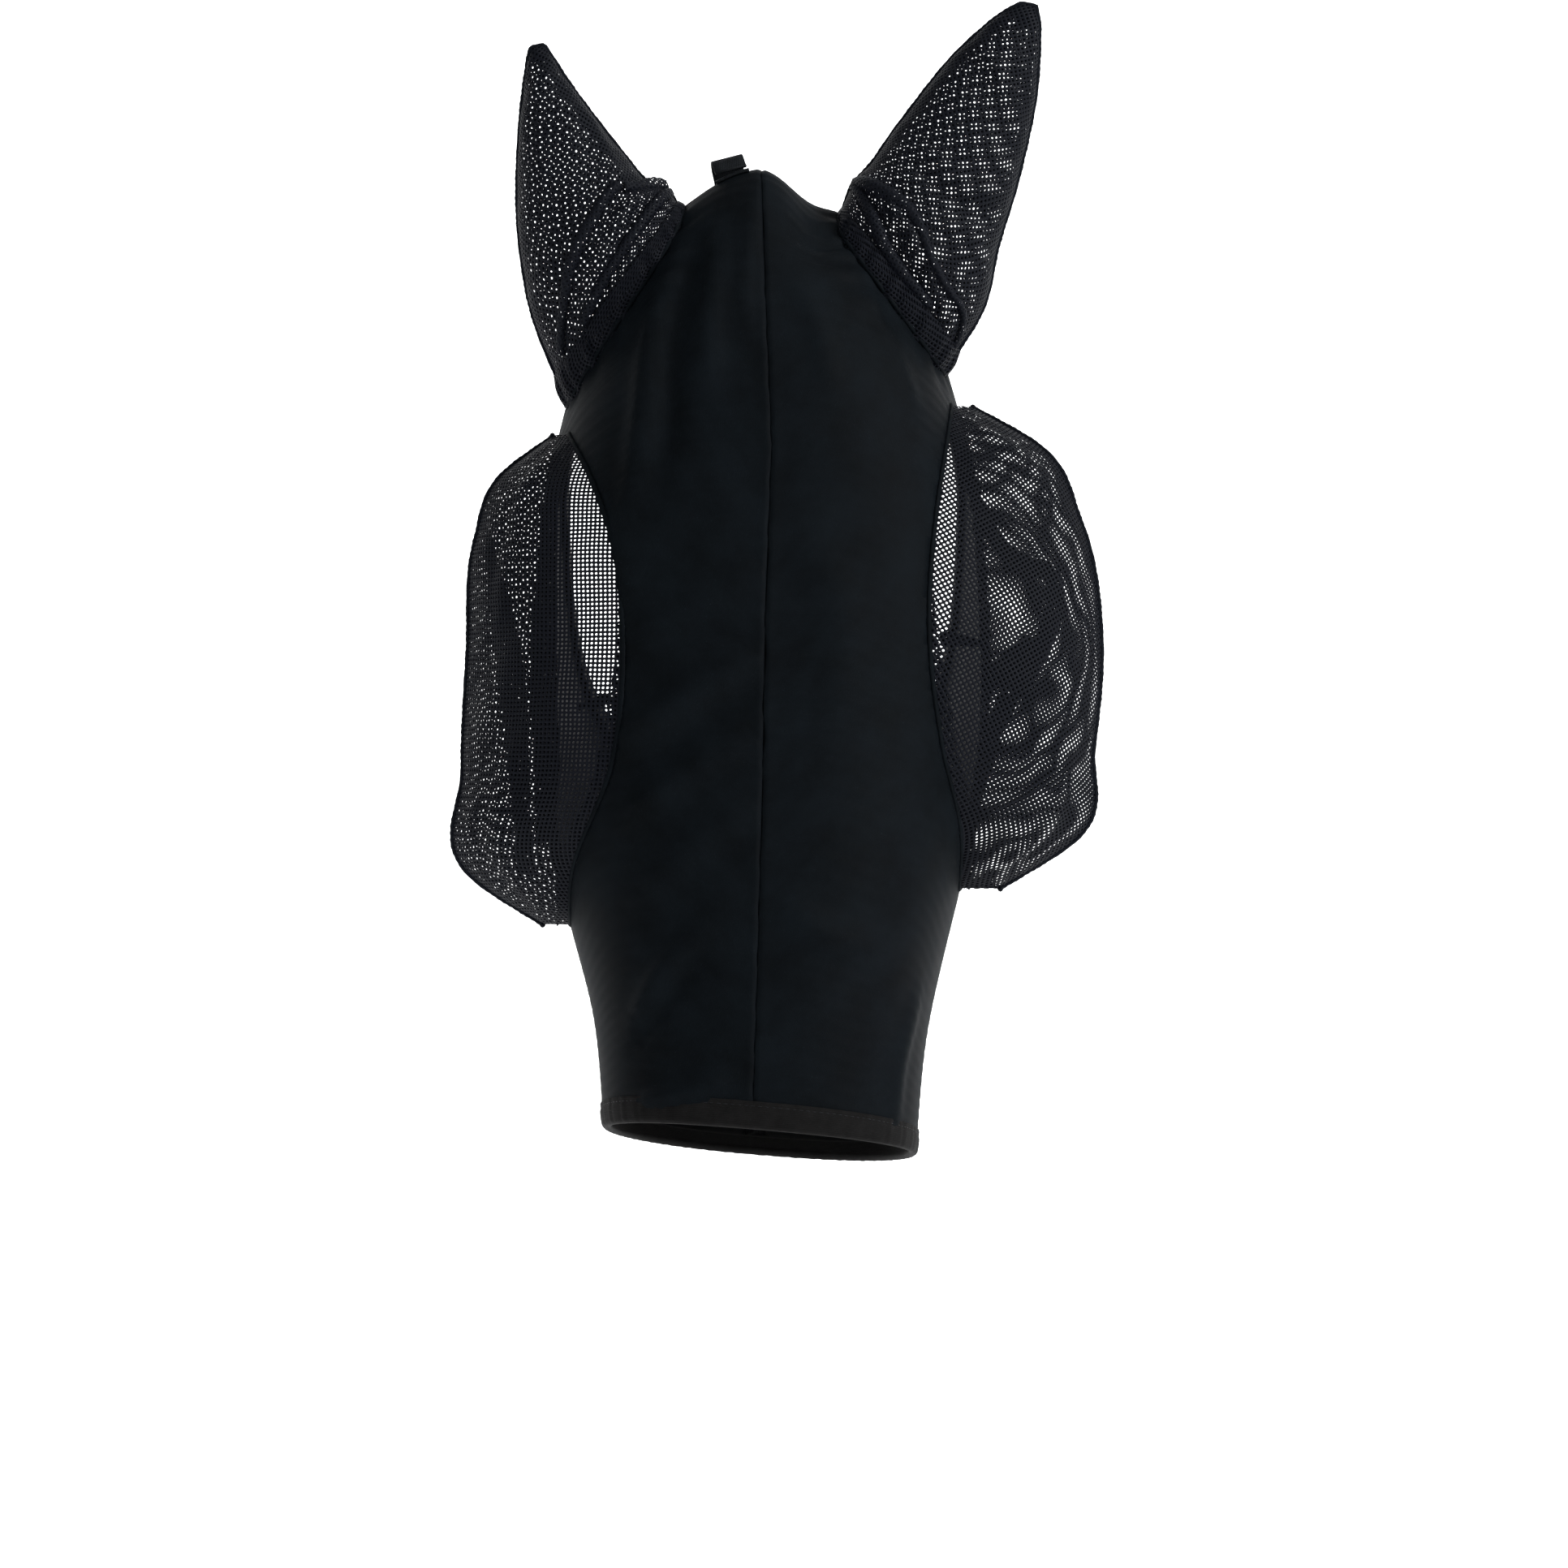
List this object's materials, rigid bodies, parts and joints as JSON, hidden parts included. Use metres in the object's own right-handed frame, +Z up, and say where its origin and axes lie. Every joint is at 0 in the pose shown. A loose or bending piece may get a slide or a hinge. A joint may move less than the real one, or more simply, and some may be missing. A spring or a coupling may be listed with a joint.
{
  "type": "fly mask",
  "caption": "Stretch fly mask for a horse: knit hood with net eye cups, net ear pockets, elastic nose hem and a poll strap.",
  "frame": {"origin": "on the horse's poll, just under the top of the hood between the ears, on the middle plane", "axes": "+Z up, the face looks to -Y, +X is the horse's left side"},
  "size_m": [0.2914, 0.409, 0.5335],
  "materials": {
    "knit": "smooth stretch knit, dark navy, soft sheen",
    "net": "fine perforated polyester net, dark navy, about 2 mm pitch",
    "binding": "folded knit binding, matt, two rows of stitching",
    "elastic": "woven flat elastic, ribbed",
    "webbing": "woven webbing, matt black",
    "tape": "woven, hook and loop tape, matt black"
  },
  "bodies": {
    "hood": {"hood_panel_left": "knit", "hood_panel_right": "knit", "front_seam_tape": "tape", "jaw_seam_tape": "tape", "nose_binding": "binding", "nose_elastic": "elastic", "neck_binding": "binding", "neck_elastic": "elastic", "eye_net_front_left": "net", "eye_net_front_right": "net", "eye_net_rear_left": "net", "eye_net_rear_right": "net", "eye_facing_left": "net", "eye_facing_right": "net", "ear_collar_left": "net", "ear_collar_right": "net", "poll_tab_base": "webbing", "poll_tab_loop": "tape", "throat_loop_tape": "tape"},
    "ear_left": {"ear_front_left": "net", "ear_back_left": "net", "ear_seam_band_left": "net"},
    "ear_right": {"ear_front_right": "net", "ear_back_right": "net", "ear_seam_band_right": "net"},
    "poll_tab": {"poll_tab_strap": "webbing", "poll_tab_hook": "tape"},
    "throat_flap": {"throat_flap": "knit", "throat_hook_tape": "tape"}
  },
  "joints": [
    {"name": "ear_left", "type": "hinge", "parent": "hood", "child": "ear_left", "pos_m": [0.07129, 0.05462, -0.04283], "axis": [-0.6157, 0, 0.788], "range_deg": [0, 50]},
    {"name": "ear_right", "type": "hinge", "parent": "hood", "child": "ear_right", "pos_m": [-0.07453, 0.05462, -0.04877], "axis": [-0.5811, 0, -0.8138], "range_deg": [0, 50]},
    {"name": "poll_tab", "type": "hinge", "parent": "hood", "child": "poll_tab", "pos_m": [-0.0141, 0.01147, 0.00364], "axis": [0.9646, 0.0589, 0.2572], "range_deg": [0, 100]},
    {"name": "throat_flap", "type": "hinge", "parent": "hood", "child": "throat_flap", "pos_m": [0.02009, 0.21632, -0.3119], "axis": [0.0011, -0.6776, -0.7354], "range_deg": [0, 80]}
  ]
}
